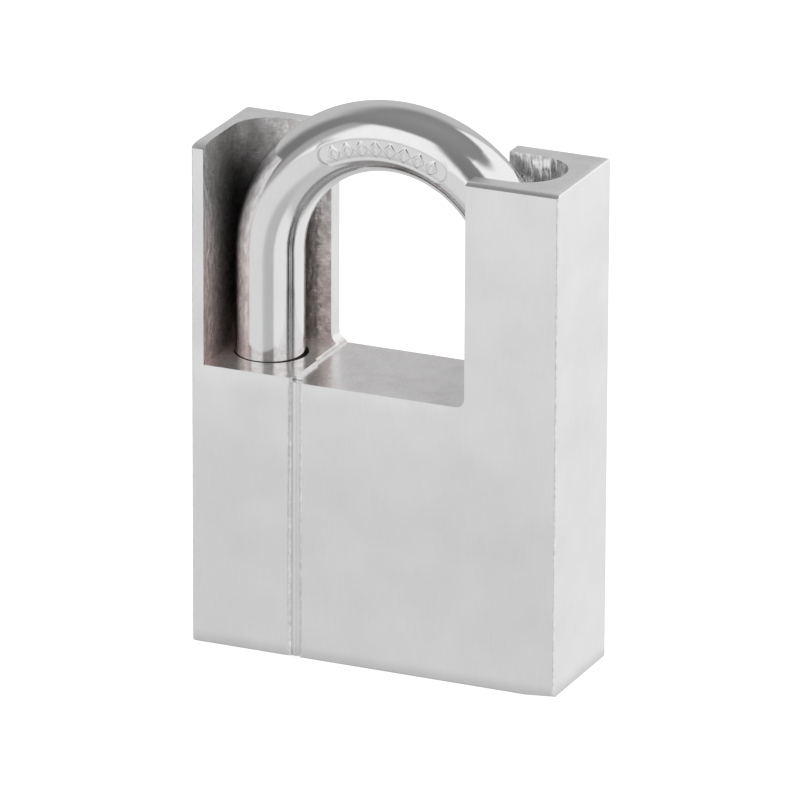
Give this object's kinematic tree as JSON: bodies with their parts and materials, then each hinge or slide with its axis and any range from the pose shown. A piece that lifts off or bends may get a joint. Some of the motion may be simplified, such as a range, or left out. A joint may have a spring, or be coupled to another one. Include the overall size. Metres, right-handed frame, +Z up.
{
  "type": "padlock",
  "caption": "Closed-shackle padlock: plated steel block with shoulders guarding a chromed shackle, ball locking and a brass pin-tumbler cylinder underneath.",
  "frame": {"origin": "centre of the underside of the block", "axes": "+Z up along the shackle's lift, +X to the heel (guarded) side seen from the front, +Y to the back face"},
  "size_m": [0.06, 0.02, 0.0874],
  "materials": {
    "body_plate": "satin nickel plate, fine upright brushing",
    "shackle_chrome": "mirror chrome plate",
    "spring_steel": "bright drawn wire",
    "hard_steel": "ground hardened steel",
    "cylinder_brass": "turned brass",
    "plug_brass": "turned and broached brass"
  },
  "bodies": {
    "lock_body": {"body_block": "body_plate", "seam_strip": "body_plate", "ball_bore_plug": "body_plate", "shackle_spring": "spring_steel", "retaining_pin": "hard_steel", "cylinder_housing": "cylinder_brass", "pin_chamber_cover": "cylinder_brass", "driver_pin_1": "hard_steel", "driver_pin_2": "hard_steel", "driver_pin_3": "hard_steel", "driver_pin_4": "hard_steel", "driver_pin_5": "hard_steel", "pin_spring_1": "spring_steel", "pin_spring_2": "spring_steel", "pin_spring_3": "spring_steel", "pin_spring_4": "spring_steel", "pin_spring_5": "spring_steel"},
    "shackle": {"shackle": "shackle_chrome"},
    "plug": {"plug": "plug_brass", "plug_clip": "spring_steel", "locking_cam": "hard_steel", "key_pin_1": "plug_brass", "key_pin_2": "plug_brass", "key_pin_3": "plug_brass", "key_pin_4": "plug_brass", "key_pin_5": "plug_brass"},
    "toe_ball": {"toe_ball": "hard_steel"},
    "heel_ball": {"heel_ball": "hard_steel"}
  },
  "joints": [
    {"name": "shackle_lift", "type": "slide", "parent": "lock_body", "child": "shackle", "axis": [0, 0, 1], "range_m": [0, 0.017], "deforming": ["shackle_spring"]},
    {"name": "plug_turn", "type": "hinge", "parent": "lock_body", "child": "plug", "pos_m": [-0.0008, 0, 0], "axis": [0, 0, -1], "range_deg": [0, 90]},
    {"name": "toe_ball_slide", "type": "slide", "parent": "lock_body", "child": "toe_ball", "axis": [-1, 0, 0], "range_m": [0, 0.0023]},
    {"name": "heel_ball_slide", "type": "slide", "parent": "lock_body", "child": "heel_ball", "axis": [1, 0, 0], "range_m": [0, 0.0023]}
  ],
  "couplings": [
    {"joint": "toe_ball_slide", "follows": "plug_turn", "m_per_rad": 0.001464},
    {"joint": "heel_ball_slide", "follows": "plug_turn", "m_per_rad": 0.001464}
  ]
}
